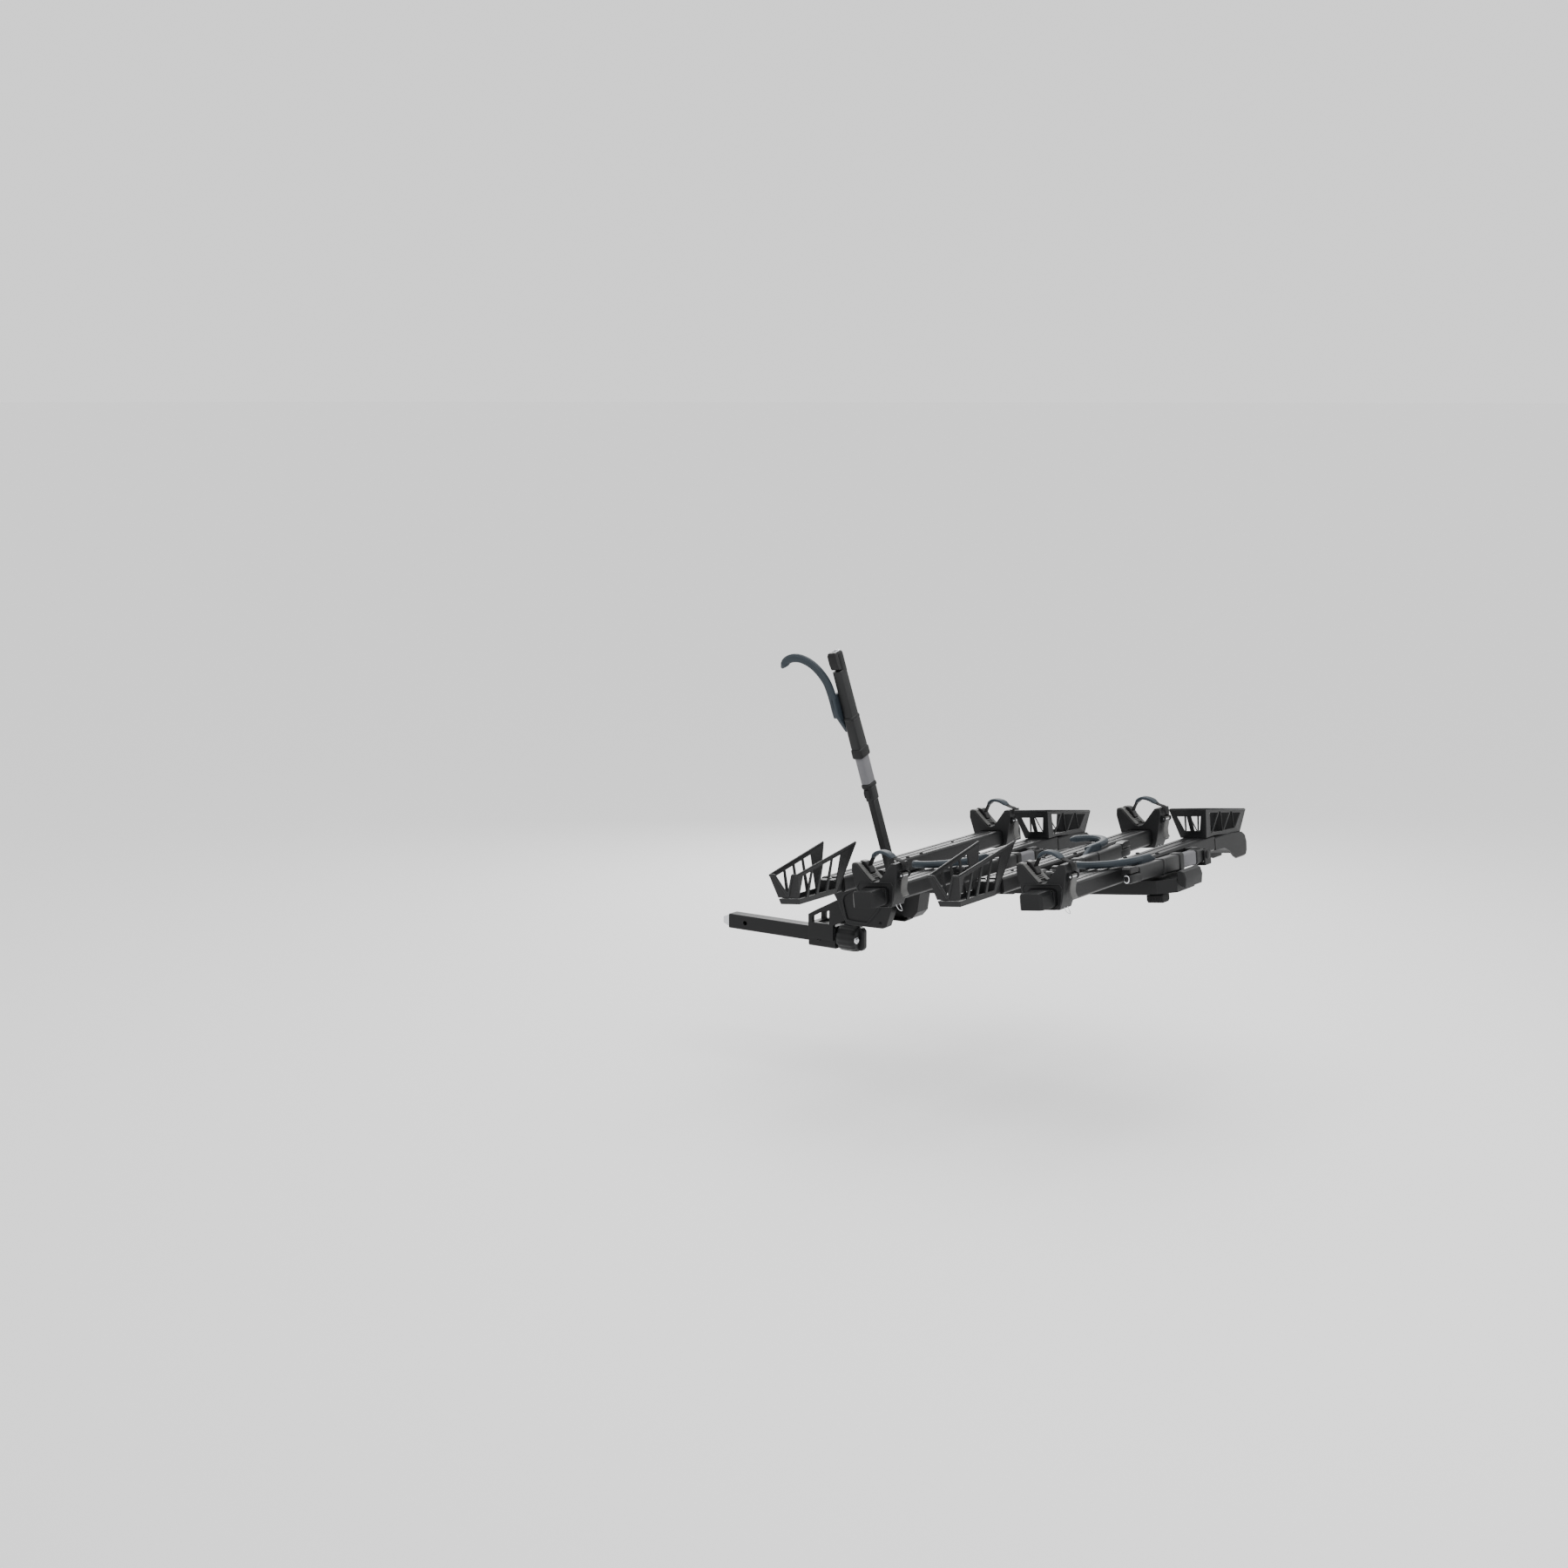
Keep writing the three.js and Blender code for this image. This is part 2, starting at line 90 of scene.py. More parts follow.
def make_studio():
    world = bpy.data.worlds.new("studio")
    bpy.context.scene.world = world
    world.use_nodes = True
    background = world.node_tree.nodes["Background"]
    background.inputs["Color"].default_value = (1.0, 1.0, 1.0, 1.0)
    background.inputs["Strength"].default_value = 1.25
    middle = (0.0, -1.0, 0.25)
    make_light("key", (-2.6, -3.6, 3.0), middle, (2.4, 1.6), 60)
    make_light("top", (0.4, -1.0, 3.2), middle, (2.6, 2.6), 60)
    make_light("rim", (3.2, 1.4, 2.0), middle, (1.6, 2.4), 70)
    mesh = bpy.data.meshes.new("floor")
    corners = [(x * FLOOR_REACH, y * FLOOR_REACH, FLOOR_LEVEL)
               for x, y in ((-1, -1), (1, -1), (1, 1), (-1, 1))]
    mesh.from_pydata(corners, [], [(0, 1, 2, 3)])
    floor = bpy.data.objects.new("floor", mesh)
    bpy.context.scene.collection.objects.link(floor)
    mesh.materials.append(finish("floor_white", (0.95, 0.95, 0.95), 0.85, 0.0, grain=0.0, shade=0.0,
                                 specular=0.1))


# ---- materials -----------------------------------------------------------------------

def finish(name, colour, roughness, metallic, grain=0.12, grain_scale=900.0, edge=0.0,
           shade=0.18, specular=0.5):
    """A surface with fine grain, slow colour and gloss variation, and a painted highlight that lightens
    its convex edges.
    """
    material = bpy.data.materials.new(name)
    material.use_nodes = True
    nodes = material.node_tree.nodes
    links = material.node_tree.links
    shader = nodes["Principled BSDF"]
    shader.inputs["Metallic"].default_value = metallic
    shader.inputs["Specular IOR Level"].default_value = specular
    place = nodes.new("ShaderNodeTexCoord")
    cloud = nodes.new("ShaderNodeTexNoise")
    cloud.inputs["Scale"].default_value = 9.0
    cloud.inputs["Detail"].default_value = 6.0
    links.new(place.outputs["Object"], cloud.inputs["Vector"])
    tint = nodes.new("ShaderNodeMix")
    tint.data_type = "RGBA"
    tint.inputs["A"].default_value = (*[c * (1 - shade) for c in colour], 1)
    tint.inputs["B"].default_value = (*[min(1, c * (1 + shade)) for c in colour], 1)
    links.new(cloud.outputs["Fac"], tint.inputs["Factor"])
    colour_out = tint.outputs["Result"]
    # Painted highlight: convex edges, found by pointiness, are mixed towards a lighter copy of the
    # colour in place of specular sheen.
    if edge:
        geometry = nodes.new("ShaderNodeNewGeometry")
        edge_highlight_mask = nodes.new("ShaderNodeMapRange")
        edge_highlight_mask.inputs["From Min"].default_value = 0.52
        edge_highlight_mask.inputs["From Max"].default_value = 0.62
        edge_highlight_mask.inputs["To Max"].default_value = edge
        links.new(geometry.outputs["Pointiness"], edge_highlight_mask.inputs["Value"])
        edge_highlight_mix = nodes.new("ShaderNodeMix")
        edge_highlight_mix.data_type = "RGBA"
        edge_highlight_mix.inputs["B"].default_value = (*[min(1, c * 2.4 + 0.02) for c in colour], 1)
        links.new(edge_highlight_mask.outputs["Result"], edge_highlight_mix.inputs["Factor"])
        links.new(colour_out, edge_highlight_mix.inputs["A"])
        colour_out = edge_highlight_mix.outputs["Result"]
    links.new(colour_out, shader.inputs["Base Color"])
    gloss = nodes.new("ShaderNodeMapRange")
    gloss.inputs["To Min"].default_value = roughness - 0.07
    gloss.inputs["To Max"].default_value = roughness + 0.07
    links.new(cloud.outputs["Fac"], gloss.inputs["Value"])
    links.new(gloss.outputs["Result"], shader.inputs["Roughness"])
    if grain:
        fine = nodes.new("ShaderNodeTexNoise")
        fine.inputs["Scale"].default_value = grain_scale
        fine.inputs["Detail"].default_value = 3.0
        links.new(place.outputs["Object"], fine.inputs["Vector"])
        bump = nodes.new("ShaderNodeBump")
        bump.inputs["Strength"].default_value = grain
        bump.inputs["Distance"].default_value = 0.0006
        links.new(fine.outputs["Fac"], bump.inputs["Height"])
        links.new(bump.outputs["Normal"], shader.inputs["Normal"])
    return material


def make_materials():
    """Each material by its key, with the record slot that it belongs to."""
    plastic = dict(metallic=0.0, grain=0.35, grain_scale=1400.0, specular=0.22)
    coated = dict(metallic=0.0, grain=0.3, edge=0.3, specular=0.22)
    return {
        "frame": (finish("powder_coat", (0.0065, 0.0067, 0.0072), 0.44, grain_scale=1100.0, **coated),
                  "frame_black"),
        "steel": (finish("coated_steel", (0.0058, 0.0060, 0.0065), 0.46, grain_scale=1000.0, **coated),
                  "steel_black"),
        "plastic": (finish("moulded_black", (0.0062, 0.0065, 0.0070), 0.44, edge=0.5, **plastic),
                    "black_plastic"),
        "gloss": (finish("smooth_black", (0.0045, 0.0045, 0.005), 0.3, edge=0.2, **plastic),
                  "black_plastic"),
        "sleeve": (finish("grey_anodised", (0.016, 0.0165, 0.017), 0.4, metallic=0.3, grain=0.1,
                          grain_scale=2200.0, edge=0.15, specular=0.25), "sleeve_grey"),
        "band": (finish("light_band", (0.125, 0.125, 0.134), 0.45, metallic=0.1, grain=0.2,
                        grain_scale=1600.0, edge=0.2, specular=0.4), "sleeve_grey"),
        "pad": (finish("blue_grey_pad", (0.024, 0.032, 0.040), 0.5, edge=0.2, **plastic),
                "pad_blue_grey"),
        "grey": (finish("grey_moulding", (0.085, 0.085, 0.083), 0.46, edge=0.2, **plastic),
                 "buckle_grey"),
        "rubber": (finish("black_rubber", (0.005, 0.005, 0.0055), 0.65, metallic=0.0, grain=0.5,
                          grain_scale=700.0, edge=0.1, specular=0.2), "rubber_black"),
        "bright": (finish("bright_plate", (0.62, 0.63, 0.65), 0.2, metallic=1.0, grain=0.05,
                          grain_scale=2500.0, shade=0.06), "bright_steel"),
    }


# ---- places --------------------------------------------------------------------------

RACK = Matrix.Translation(FIRST_TRAY) @ Matrix.Rotation(-math.radians(RACK_SLOPE), 4, "X")
HITCH = Matrix.Identity(4)


def tray_place(number):
    """A tray's own frame, with +X at its basket end."""
    offset = Matrix.Translation((0, -(number - 1) * TRAY_PITCH, 0))
    return RACK @ offset @ Matrix.Scale(TRAY_SIDES[number - 1], 4, (1, 0, 0))


def arm_place(number):
    """The frame of an arm's sleeve, along +Z, with +X outward and +Y to the vehicle."""
    raised = number == 1
    turn = Matrix.Rotation(math.radians(ARM_LEAN if raised else ARM_FOLDED), 4, "Y")
    slide = Matrix.Translation((0, 0, ARM_HIGH if raised else ARM_LOW))
    return tray_place(number) @ Matrix.Translation(ARM_PIVOT) @ turn @ slide


# ---- shapes --------------------------------------------------------------------------

def smooth_line(points, steps):
    """Points along a smooth curve through the given ones, which may be 2-D or 3-D."""
    points = [Vector(p) for p in points]
    ends = [points[0] * 2 - points[1], *points, points[-1] * 2 - points[-2]]
    line = []
    for i in range(steps + 1):
        place = i / steps * (len(points) - 1)
        k = min(int(place), len(points) - 2)
        t = place - k
        a, b, c, d = ends[k:k + 4]
        line.append(0.5 * (2 * b + (c - a) * t + (2 * a - 5 * b + 4 * c - d) * t * t
                           + (3 * b - a - 3 * c + d) * t ** 3))
    return line


def rounded(width, height, radius, corner_steps=4):
    """A rounded rectangle about the origin, anticlockwise."""
    radius = min(radius, width / 2 - 1e-5, height / 2 - 1e-5)
    points = []
    for quarter, (sx, sy) in enumerate(((1, 1), (-1, 1), (-1, -1), (1, -1))):
        for i in range(corner_steps + 1):
            angle = math.pi / 2 * (quarter + i / corner_steps)
            points.append((sx * (width / 2 - radius) + radius * math.cos(angle),
                           sy * (height / 2 - radius) + radius * math.sin(angle)))
    return points


def ring_faces(rings, size, closed=False):
    """The faces between rings of the same number of points, with end caps unless closed."""
    faces = []
    for i in range(rings if closed else rings - 1):
        here, there = i * size, (i + 1) % rings * size
        for j in range(size):
            k = (j + 1) % size
            faces.append((here + j, here + k, there + k, there + j))
    if not closed:
        faces.append(tuple(reversed(range(size))))
        faces.append(tuple(range((rings - 1) * size, rings * size)))
    return faces


def swept(path, section, across=(1, 0, 0), closed=False, scale=None):
    """A section carried along a path; its first coordinate lies along across."""
    across = Vector(across)
    path = [Vector(p) for p in path]
    count = len(path)
    verts = []
    for i, point in enumerate(path):
        ahead = path[(i + 1) % count] if closed or i < count - 1 else point
        behind = path[i - 1] if closed or i > 0 else point
        along = (ahead - behind).normalized()
        side = (across - along * across.dot(along)).normalized()
        out = along.cross(side)
        su, sv = scale(i / (count - 1)) if scale else (1, 1)
        verts += [point + side * (u * su) + out * (v * sv) for u, v in section]
    return verts, ring_faces(count, len(section), closed)


def lofted(levels, corner=0.004, corner_steps=4):
    """Rounded rectangles (z, width, depth) stacked along Z."""
    verts = []
    for z, width, depth in levels:
        verts += [Vector((x, y, z)) for x, y in rounded(width, depth, corner, corner_steps)]
    return verts, ring_faces(len(levels), 4 * (corner_steps + 1))


def turned(profile, axis="Y", sides=48, wave=0.0, lobes=0):
    """A profile of (radius, distance along the axis) turned about the axis."""
    verts = []
    for radius, along in profile:
        for j in range(sides):
            angle = 2 * math.pi * j / sides
            r = radius * (1 + wave * math.cos(lobes * angle)) if lobes else radius
            a, b = r * math.cos(angle), r * math.sin(angle)
            spots = {"X": (along, a, b), "Y": (b, along, a), "Z": (a, b, along)}
            verts.append(Vector(spots[axis]))
    return verts, ring_faces(len(profile), sides)


def slab(outline, low, high, axis="X"):
    """An outline carried along an axis; its points are the other two coordinates in order."""
    spot = {"X": lambda a, b, c: (c, a, b), "Y": lambda a, b, c: (a, c, b),
            "Z": lambda a, b, c: (a, b, c)}[axis]
    verts = [Vector(spot(a, b, level)) for level in (low, high) for a, b in outline]
    return verts, ring_faces(2, len(outline))


def make_piece(name, shape, place, key, body, bevel=0.0, segments=3, smooth=40):
    """A named piece in its own material that rides on a body."""
    verts, faces = shape
    mesh = bpy.data.meshes.new(name)
    mesh.from_pydata([tuple(v) for v in verts], [], faces)
    mesh.transform(place)
    tidy_normals(mesh)
    mesh.polygons.foreach_set("use_smooth", [True] * len(mesh.polygons))
    mesh.set_sharp_from_angle(angle=math.radians(smooth))
    material, slot = MATERIALS[key]
    mesh.materials.append(material)
    piece = bpy.data.objects.new(name, mesh)
    bpy.context.scene.collection.objects.link(piece)
    if bevel:
        add_bevel(piece, bevel, segments)
    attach(piece, body)
    return piece


def tidy_normals(mesh):
    """Every face of a closed piece points outward."""
    work = bmesh.new()
    work.from_mesh(mesh)
    bmesh.ops.recalc_face_normals(work, faces=work.faces)
    work.to_mesh(mesh)
    work.free()


BEVELLED_ANGLE = 28
WELD_DISTANCE = 0.00002


def add_bevel(piece, width, segments):
    """Rounds the edges that are sharper than the bevelled angle."""
    modifier = piece.modifiers.new("edges", "BEVEL")
    modifier.width = width
    modifier.segments = segments
    modifier.limit_method = "ANGLE"
    modifier.angle_limit = math.radians(BEVELLED_ANGLE)
    modifier.miter_outer = "MITER_ARC"
    shading = piece.modifiers.new("shading", "WEIGHTED_NORMAL")
    shading.keep_sharp = False


def dress(node, key, bevel, segments=3):
    """Gives a CAD node its material and rounded edges."""
    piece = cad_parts[node]
    mesh = piece.data
    for name in ("custom_normal", "sharp_edge", "sharp_face"):
        if name in mesh.attributes:
            mesh.attributes.remove(mesh.attributes[name])
    mesh.polygons.foreach_set("use_smooth", [True] * len(mesh.polygons))
    mesh.materials.clear()
    mesh.materials.append(MATERIALS[key][0])
    weld = piece.modifiers.new("weld", "WELD")
    weld.merge_threshold = WELD_DISTANCE
    add_bevel(piece, bevel, segments)


MATERIALS = make_materials()
make_camera()
make_studio()


# ---- wheel holder: strap, pad, ratchet plate, buckle -----------------------------------

STRAP_LINE = [(0.038, 0.114), (0.026, 0.138), (0.010, 0.157), (-0.008, 0.163),
              (-0.034, 0.157), (-0.058, 0.142), (-0.080, 0.1335), (-0.088, 0.124), (-0.089, 0.108)]
STRAP_STEPS = 150
PAD_FROM, PAD_TO = 26, 92
BUCKLE_LINE = [(-0.087, 0.098), (-0.085, 0.076), (-0.081, 0.058), (-0.080, 0.042), (-0.085, 0.027)]
RATCHET_RAIL = [(0.0805, 0.1300), (0.072, 0.1322), (0.061, 0.1300), (0.052, 0.1210),
                (0.022, 0.0872), (0.011, 0.0770)]
RIDGE_TOP, RIDGE_FOOT = (0.056, 0.1262), (0.014, 0.0795)
RIDGES, THICK_RIDGES = 9, 5


def at_x(points, x):
    """Points in the plane across the vehicle, as (y, z), set at one x."""
    return [Vector((x, y, z)) for y, z in points]


def ladder(t):
    """The strap's section, thinner between its teeth."""
    return 1.0, 1.0 if int(t * STRAP_STEPS) % 4 < 2 else 0.72


def pad_taper(t):
    """The pad's section, drawn in at both ends."""
    return min(1.0, 0.82 + 2.2 * min(t, 1 - t)), min(1.0, 0.5 + 4 * min(t, 1 - t))


def add_strap(number, place):
    body = f"strap_{number}"
    path = smooth_line(at_x(STRAP_LINE, HOLDER_X), STRAP_STEPS)
    shape = swept(path, rounded(0.025, 0.0034, 0.0012, 2), scale=ladder)
    strap = make_piece(f"ratchet_strap_{number}", shape, place, "rubber", body, smooth=50)
    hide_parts(f"wheel_strap_{number}")
    shape = swept(path[PAD_FROM:PAD_TO], rounded(0.031, 0.010, 0.004, 4), scale=pad_taper)
    pad = make_piece(f"strap_pad_{number}", shape, place, "pad", body, smooth=60)


def add_ratchet_plate(number, place):
    """The stepped grey plate on the slope that faces the vehicle, with the strap's slot."""
    body = f"holder_{number}"
    for k, way in enumerate((-1, 1)):
        line = smooth_line(at_x(RATCHET_RAIL, HOLDER_X + way * 0.0225), 30)
        shape = swept(line, rounded(0.017, 0.0046, 0.0015, 3))
        make_piece(f"ratchet_rail_{number}_{k + 1}", shape, place, "grey", body, smooth=50)
    for k in range(RIDGES):
        t = 0.10 + k * 0.10
        y, z = (top + (foot - top) * t for top, foot in zip(RIDGE_TOP, RIDGE_FOOT))
        step = [(HOLDER_X - 0.027, y, z), (HOLDER_X + 0.027, y, z)]
        wide = 0.0042 if k < THICK_RIDGES else 0.0030
        shape = swept(step, rounded(0.0032, wide, 0.001, 3), across=(0, 0.67, 0.74))
        make_piece(f"ratchet_ridge_{number}_{k + 1}", shape, place, "grey", body)
    mouth = [(0.030, 0.096), (0.050, 0.118), (0.060, 0.128), (0.056, 0.137), (0.044, 0.134),
             (0.030, 0.116), (0.024, 0.100)]
    shape = slab(mouth, HOLDER_X - 0.0135, HOLDER_X + 0.0135)
    make_piece(f"strap_mouth_{number}", shape, place, "gloss", body, 0.0025)


def lever_taper(t):
    """The buckle lever's section, narrower along its length and thicker at both ends."""
    return 1.0 - 0.12 * t, 0.75 + 0.45 * abs(2 * t - 1) ** 2


def add_buckle(number, place):
    holder = f"holder_{number}"
    line = smooth_line(at_x(BUCKLE_LINE, HOLDER_X), 28)
    shape = swept(line, rounded(0.034, 0.0070, 0.003, 4), scale=lever_taper)
    lever = make_piece(f"buckle_lever_{number}", shape, place, "grey", f"buckle_{number}", smooth=60)
    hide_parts(f"strap_buckle_{number}")
    pin = [(HOLDER_X - 0.022, -0.088, 0.092), (HOLDER_X + 0.022, -0.088, 0.092)]
    shape = swept(pin, rounded(0.006, 0.006, 0.003, 4), across=(0, 1, 0))
    make_piece(f"buckle_pin_{number}", shape, place, "bright", holder)
    ear = [(-0.070, 0.078), (-0.088, 0.082), (-0.095, 0.090), (-0.094, 0.099), (-0.084, 0.104),
           (-0.070, 0.106)]
    for k, x in enumerate((-0.0215, 0.0185)):
        shape = slab(ear, HOLDER_X + x, HOLDER_X + x + 0.003)
        make_piece(f"buckle_ear_{number}_{k + 1}", shape, place, "plastic", holder, 0.0012)
    bail = [(HOLDER_X - 0.010, -0.052, 0.004), (HOLDER_X - 0.009, -0.060, -0.012),
            (HOLDER_X, -0.066, -0.019), (HOLDER_X + 0.009, -0.060, -0.012),
            (HOLDER_X + 0.010, -0.052, 0.004)]
    shape = swept(smooth_line(bail, 24), rounded(0.002, 0.002, 0.001, 3), across=(0, 1, -0.5))
    make_piece(f"wire_loop_{number}", shape, place, "bright", holder)


# ---- arm: sleeve, band, collars, hook and lock -------------------------------------------

# Each collar's name, its low and high ends along the arm, its width and its depth.
COLLARS = (("foot_collar", 0.044, 0.062, 0.049, 0.035),
           ("main_collar", 0.150, 0.184, 0.0575, 0.0395),
           ("upper_collar", 0.277, 0.293, 0.0525, 0.0365))
HOUSING = [(0.0, 0.038, 0.024), (0.003, 0.043, 0.029), (0.060, 0.044, 0.030),
           (0.061, 0.041, 0.027), (0.152, 0.041, 0.027), (0.182, 0.050, 0.034),
           (0.188, 0.052, 0.036), (0.278, 0.050, 0.034), (0.290, 0.047, 0.032),
           (0.444, 0.046, 0.031), (0.446, 0.043, 0.028)]
BAND_LOW, BAND_LENGTH, BAND_RIBS = 0.062, 0.090, 24
HEAD_OFFSET = -0.009


def add_sleeve(number):
    place = arm_place(number)
    body = f"sleeve_{number}"
    lower = make_piece(f"sleeve_housing_{number}", lofted(HOUSING, 0.008, 6), place, "sleeve", body,
                       smooth=25)
    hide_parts(f"arm_sleeve_{number}")
    band = []
    for k in range(BAND_RIBS):
        z = BAND_LOW + k * BAND_LENGTH / BAND_RIBS
        band += [(z, 0.0440, 0.0300), (z + 0.0026, 0.0450, 0.0310), (z + 0.0032, 0.0440, 0.0300)]
    make_piece(f"ribbed_band_{number}", lofted(band, 0.0075, 5), place, "band", body, smooth=30)
    for name, low, high, wide, deep in COLLARS:
        shape = lofted(collar_levels(low, high, wide, deep), 0.009, 6)
        make_piece(f"{name}_{number}", shape, place, "plastic", body, smooth=60)
    head = [(0.436, 0.028, 0.029), (0.439, 0.030, 0.032), (0.498, 0.029, 0.032), (0.504, 0.026, 0.028),
            (0.506, 0.020, 0.022)]
    shift = Matrix.Translation((HEAD_OFFSET, 0, 0))
    make_piece(f"arm_head_{number}", lofted(head, 0.008, 6), place @ shift, "plastic", body, smooth=50)
    lock = place @ Matrix.Translation((HEAD_OFFSET, 0, 0.5045)) @ Matrix.Scale(0.8, 4, (0, 1, 0))
    ring = [(0.0098, 0), (0.0122, 0.0006), (0.0122, 0.0022), (0.0106, 0.0032), (0.0092, 0.0032),
            (0.0088, 0.0020)]
    make_piece(f"lock_ring_{number}", turned(ring, "Z", 40), lock, "bright", body, smooth=40)
    face = [(0.0085, 0.0), (0.0085, 0.0024), (0.0072, 0.0030)]
    make_piece(f"lock_face_{number}", turned(face, "Z", 40), lock, "gloss", body)
    clip = [(0.020, 0.012), (0.029, 0.018), (0.030, 0.034), (0.026, 0.042), (0.020, 0.040)]
    make_piece(f"clip_tab_{number}", slab(clip, -0.009, 0.009, "Y"), place, "plastic", body, 0.0015)


def collar_levels(low, high, wide, deep):
    """A ring with rounded lips round the sleeve."""
    lip = ((0.0, 0.010), (0.0015, 0.004), (0.004, 0.0005), (0.007, 0.0))
    rising = [(low + z, wide - inset, deep - inset) for z, inset in lip]
    falling = [(high - z, wide - inset, deep - inset) for z, inset in reversed(lip)]
    return rising + falling


HOOK_LINE = [(0.030, 0.298), (0.030, 0.380), (0.040, 0.430), (0.070, 0.476), (0.112, 0.502),
             (0.156, 0.502), (0.190, 0.476)]
HOOK_X = 0.033
HOOK_BOLT = [(0.0055, 0), (0.0055, 0.0020), (0.0042, 0.0034), (0.0020, 0.0034), (0.0018, 0.0016)]


def hook_taper(t):
    """The hook's section, drawn in a little at its foot and more at its tip."""
    return (min(1.0, 0.45 + 9 * (1 - t)) * min(1.0, 0.7 + 6 * t),
            min(1.0, 0.4 + 10 * (1 - t)))


def add_hook(number):
    place = arm_place(number)
    body = f"sleeve_{number}"
    path = smooth_line(at_x(HOOK_LINE, HOOK_X), 64)
    shape = swept(path, rounded(0.022, 0.023, 0.007, 6), scale=hook_taper)
    hook = make_piece(f"hook_arch_{number}", shape, place, "pad", body, smooth=60)
    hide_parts(f"arm_hook_{number}")
    foot = [(-0.016, 0.242), (0.010, 0.238), (0.034, 0.286), (0.044, 0.308), (0.044, 0.366),
            (0.037, 0.372), (-0.016, 0.372)]
    make_piece(f"hook_foot_{number}", slab(foot, 0.0180, 0.0320, "Y"), place, "pad", body, 0.004, 4)
    for name, offset in (("ridge", 0.0112), ("grip", -0.0112)):
        raised = [(u, v + offset) for u, v in rounded(0.011, 0.004, 0.0018, 4)]
        make_piece(f"hook_{name}_{number}", swept(path[8:-5], raised), place, "pad", body, smooth=60)
    for k, z in enumerate((0.262, 0.350)):
        spot = place @ Matrix.Translation((0.0, 0.0315, z))
        make_piece(f"hook_bolt_{number}_{k + 1}", turned(HOOK_BOLT, "Y", 24), spot, "bright", body)


# ---- tray: basket rims, bracket bolts, holder trim ----------------------------------------

BEAD_ACROSS = (0.05, 0.13, 1)


def add_bead(name, points, place, thickness=0.0075, closed=False, body="rack"):
    """A rolled edge along straight runs, turned sharply at its corners."""
    path = []
    corners = [Vector(p) for p in points]
    pairs = list(zip(corners, corners[1:] + corners[:1] if closed else corners[1:]))
    for a, b in pairs:
        path += [a.lerp(b, 0.03), a.lerp(b, 0.97)]
    if not closed:
        path = [corners[0], *path, corners[-1]]
    section = rounded(thickness, thickness, thickness * 0.35, 3)
    shape = swept(path, section, BEAD_ACROSS, closed)
    make_piece(name, shape, place, "plastic", body, smooth=50)


NEAR_WALL = dict(floor=0.010, floor_half=0.036, flare=0.030, height=0.157)
FAR_WALL = dict(floor=0.030, floor_half=0.040, flare=0.027, height=0.133)


def half_width(z, floor, floor_half, flare, height):
    """Half of a flaring basket's width at a height, less the inset of its rim."""
    return floor_half + flare * (z - floor) / height - 0.002


def add_near_rim(number, place):
    foot, low, high = (half_width(z, **NEAR_WALL) for z in (0.014, 0.105, 0.161))
    notch = 0.0335
    rim = [(0.383, -high, 0.160), (0.701, -low, 0.105), (0.701, -notch, 0.105), (0.685, 0, 0.036),
           (0.701, notch, 0.105), (0.701, low, 0.105), (0.383, high, 0.160)]
    add_bead(f"basket_rim_{number}", rim, place)
    for k, way in enumerate((-1, 1)):
        edge = [(0.383, way * high, 0.160), (0.470, way * foot, 0.014)]
        add_bead(f"basket_edge_{number}_{k + 1}", edge, place, 0.0062)


def add_far_rim(number, place):
    low, high = (half_width(z, **FAR_WALL) for z in (0.113, 0.157))
    rim = [(0.345, -high, 0.156), (0.659, -low, 0.112), (0.659, low, 0.112), (0.345, high, 0.156)]
    add_bead(f"basket_rim_{number}", rim, place, closed=True)


def add_bolt(name, spot, axis, place, key="bright", body="rack", radius=0.006):
    shape = turned([(radius, 0), (radius, 0.0025), (radius * 0.8, 0.0042), (radius * 0.42, 0.0044),
                    (radius * 0.38, 0.0022)], axis, 28)
    make_piece(name, shape, place @ Matrix.Translation(spot), key, body)


def add_tray_trim(number, place):
    side = TRAY_SIDES[number - 1]
    if side < 0:
        add_near_rim(number, place)
        add_bolt(f"basket_screw_{number}", (0.452, 0, 0.054), "Z", place)
    else:
        add_far_rim(number, place)
    for k, x in enumerate((-0.30, 0.30)):
        add_bolt(f"beam_screw_{number}_{k + 1}", (x, 0, BEAM_TOP), "Z", place, "steel", radius=0.005)
    add_beam_ribs(number, place)
    add_pivot_head(number, place)
    outline = at_x(HOLDER_FACE, HOLDER_X - 0.036)
    add_bead(f"holder_outline_{number}", outline, place, 0.004, True, f"holder_{number}")


HOLDER_FACE = [(-0.056, 0.012), (-0.040, -0.001), (0.040, -0.001), (0.056, 0.012), (0.066, 0.060),
               (0.058, 0.072), (-0.058, 0.072), (-0.066, 0.060)]
RIB_FROM, RIB_TO = -0.53, 0.425


def add_beam_ribs(number, place):
    """The two raised lines along the top of a tray's beam."""
    level = BEAM_TOP + 0.0006
    for k, y in enumerate((-0.017, 0.017)):
        line = [(RIB_FROM, y, level), (RIB_TO, y, level)]
        shape = swept(line, rounded(0.004, 0.0024, 0.001, 3), (0, 1, 0))
        make_piece(f"beam_rib_{number}_{k + 1}", shape, place, "frame", "rack")


def add_pivot_head(number, place):
    """The head of an arm's pivot pin, on the side away from the vehicle."""
    head = turned([(0.0, 0), (0.0125, 0), (0.0125, 0.004), (0.010, 0.006), (0.0, 0.006)], "Y", 32)
    spot = Matrix.Translation((ARM_PIVOT.x, ARM_PIVOT.y - 0.0205, ARM_PIVOT.z))
    flipped = spot @ Matrix.Rotation(math.pi, 4, "Z")
    make_piece(f"pivot_head_{number}", head, place @ flipped, "steel", "rack")


# ---- base --------------------------------------------------------------------------------

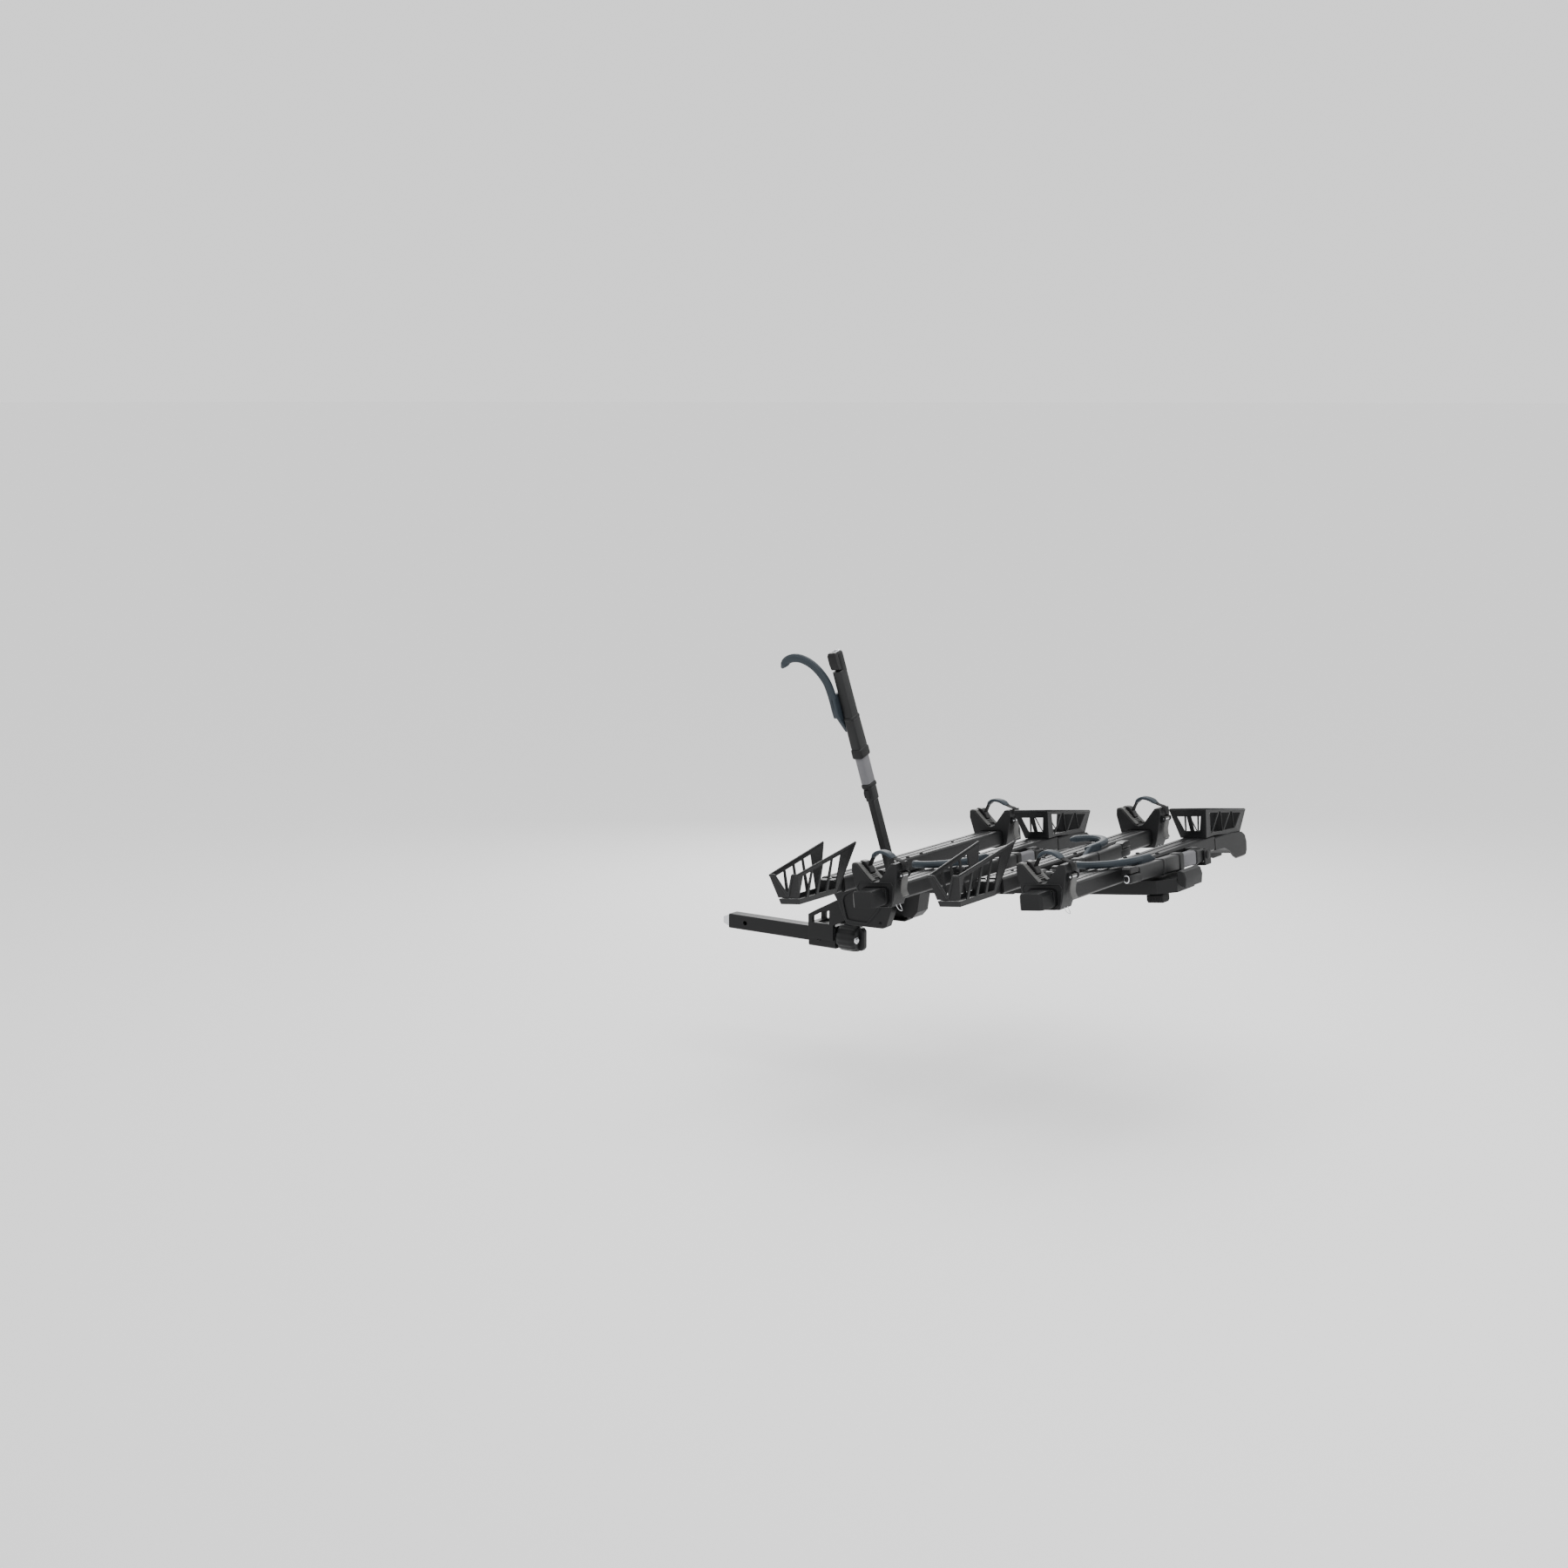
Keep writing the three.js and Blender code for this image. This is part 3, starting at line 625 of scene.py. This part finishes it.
COVER_RECESS = [(-0.212, -0.082), (-0.200, -0.062), (-0.159, -0.043), (-0.121, -0.041),
                (-0.062, -0.048), (-0.050, -0.075), (-0.068, -0.110), (-0.112, -0.152),
                (-0.130, -0.157), (-0.188, -0.150), (-0.202, -0.140)]
COVER_SCREWS = ((-0.178, -0.006), (-0.040, -0.028), (-0.070, -0.158))
COVER_FACE = 0.0848


def add_cover_rims():
    for name, way in (("right", 1), ("left", -1)):
        x = way * COVER_FACE
        points = [(x, -s, z) for s, z in COVER_RECESS]
        path = smooth_line(points + points[:1], 88)[:-1]
        shape = swept(path, rounded(0.006, 0.007, 0.0026, 4), closed=True)
        make_piece(f"cover_rim_{name}", shape, RACK, "plastic", "rack", smooth=60)
        for k, (s, z) in enumerate(COVER_SCREWS):
            spot = Matrix.Translation((x, -s, z)) @ Matrix.Scale(way, 4, (1, 0, 0))
            add_bolt(f"cover_screw_{name}_{k + 1}", (0, 0, 0), "X", RACK @ spot, "steel", radius=0.005)


def add_knob():
    profile = [(0.030, -0.3886), (0.036, -0.3886), (0.042, -0.392), (0.0455, -0.399), (0.0462, -0.410),
               (0.0462, -0.446), (0.0450, -0.456), (0.0415, -0.463), (0.036, -0.4664), (0.0, -0.4666)]
    shape = turned(profile, "Y", 144, wave=0.016, lobes=16)
    body = make_piece("knob_body", shape, HITCH, "plastic", "knob", smooth=50)
    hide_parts("clamp_knob")
    wing = [(-0.458, -0.040), (-0.476, -0.040), (-0.4855, -0.030), (-0.4855, 0.030), (-0.476, 0.040),
            (-0.458, 0.040)]
    make_piece("knob_wing", slab(wing, -0.012, 0.012), HITCH, "plastic", "knob", 0.005, 4)
    lock = Matrix.Translation((-0.027, -0.4665, 0)) @ Matrix.Rotation(math.pi, 4, "Z")
    ring = [(0.0080, 0), (0.0128, 0), (0.0128, 0.0034), (0.0112, 0.0048), (0.0080, 0.0048)]
    make_piece("key_ring", turned(ring, "Y", 40), HITCH @ lock, "bright", "knob", smooth=40)


def add_pivot_pin():
    low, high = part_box("pivot_pin")
    centre = (low + high) / 2
    reach = (high.x - low.x) / 2
    profile = [(0.0, -reach), (0.0085, -reach), (0.0100, -reach + 0.0015), (0.0100, reach - 0.0015),
               (0.0085, reach), (0.0, reach)]
    pin = make_piece("hinge_pin", turned(profile, "X", 48), Matrix.Translation(centre), "bright", "root")
    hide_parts("pivot_pin")


def add_tube_details():
    low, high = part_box("stinger")
    edge = [(x, high.y - 0.002, z) for x, z in rounded(0.046, 0.046, 0.004, 4)]
    shape = swept(edge, rounded(0.0035, 0.0030, 0.0012, 3), (0, 1, 0), True)
    make_piece("tube_mouth_ring", shape, HITCH, "steel", "root")
    for k, z in enumerate((0.0, 0.024)):
        for name, side in (("left", -1), ("right", 1)):
            spot = Matrix.Translation((side * 0.038, -0.320 - z, -0.012 + z))
            spot = HITCH @ spot @ Matrix.Scale(side, 4, (1, 0, 0))
            add_bolt(f"collar_bolt_{k + 1}_{name}", (0, 0, 0), "X", spot, "steel", "root", 0.007)


SADDLE_BOLTS = ((-0.042, 0.034), (0.042, 0.034), (-0.042, -0.034), (0.042, -0.034))


def add_spine_details():
    """The ribs under the foot, the ribs along the spine, and the bolts that hold the trays."""
    for k in range(5):
        y = -0.935 - k * 0.009
        rib = [(-0.089, y, -0.066), (-0.037, y, -0.066)]
        shape = swept(rib, rounded(0.0035, 0.016, 0.0015, 3), (0, 1, 0))
        make_piece(f"foot_rib_{k + 1}", shape, RACK, "rubber", "rack")
    for k, x in enumerate((-0.0965, 0.0, 0.0965)):
        rib = [(x, -0.470, -0.0465), (x, -0.940, -0.0465)]
        shape = swept(rib, rounded(0.006, 0.005, 0.002, 3))
        make_piece(f"spine_rib_{k + 1}", shape, RACK, "frame", "rack")
    for number in range(1, TRAYS + 1):
        for k, (x, dy) in enumerate(SADDLE_BOLTS):
            if number == 1 and dy > 0:
                continue
            spot = (x, dy - (number - 1) * TRAY_PITCH, BEAM_TOP)
            add_bolt(f"saddle_bolt_{number}_{k + 1}", spot, "Z", RACK, "steel", radius=0.0065)


# ---- everything ---------------------------------------------------------------------------

def dress_nodes():
    plain = {"stinger": ("steel", 0.0015), "expansion_wedge": ("bright", 0.0010),
             "hitch_bracket": ("steel", 0.0025), "lock_core": ("bright", 0.0006),
             "base_spine": ("frame", 0.0030), "side_cover_right": ("plastic", 0.0040),
             "side_cover_left": ("plastic", 0.0040), "addon_spine": ("frame", 0.0035),
             "tilt_lever": ("plastic", 0.0040), "rear_foot": ("rubber", 0.0040)}
    repeated = {"tray_beam": ("frame", 0.0030), "end_cap": ("plastic", 0.0090),
                "wheel_basket": ("plastic", 0.0014), "wheel_holder": ("plastic", 0.0040),
                "arm_bracket": ("steel", 0.0025), "arm_pin": ("bright", 0.0010),
                "arm_tube": ("sleeve", 0.0025), "release_lever": ("gloss", 0.0025)}
    for node, (key, bevel) in plain.items():
        dress(node, key, bevel)
    for number in range(1, TRAYS + 1):
        for node, (key, bevel) in repeated.items():
            dress(f"{node}_{number}", key, bevel)


dress_nodes()
add_cover_rims()
add_knob()
add_pivot_pin()
add_tube_details()
add_spine_details()
for tray in range(1, TRAYS + 1):
    tray_frame = tray_place(tray)
    add_strap(tray, tray_frame)
    add_ratchet_plate(tray, tray_frame)
    add_buckle(tray, tray_frame)
    add_sleeve(tray)
    add_hook(tray)
    add_tray_trim(tray, tray_frame)
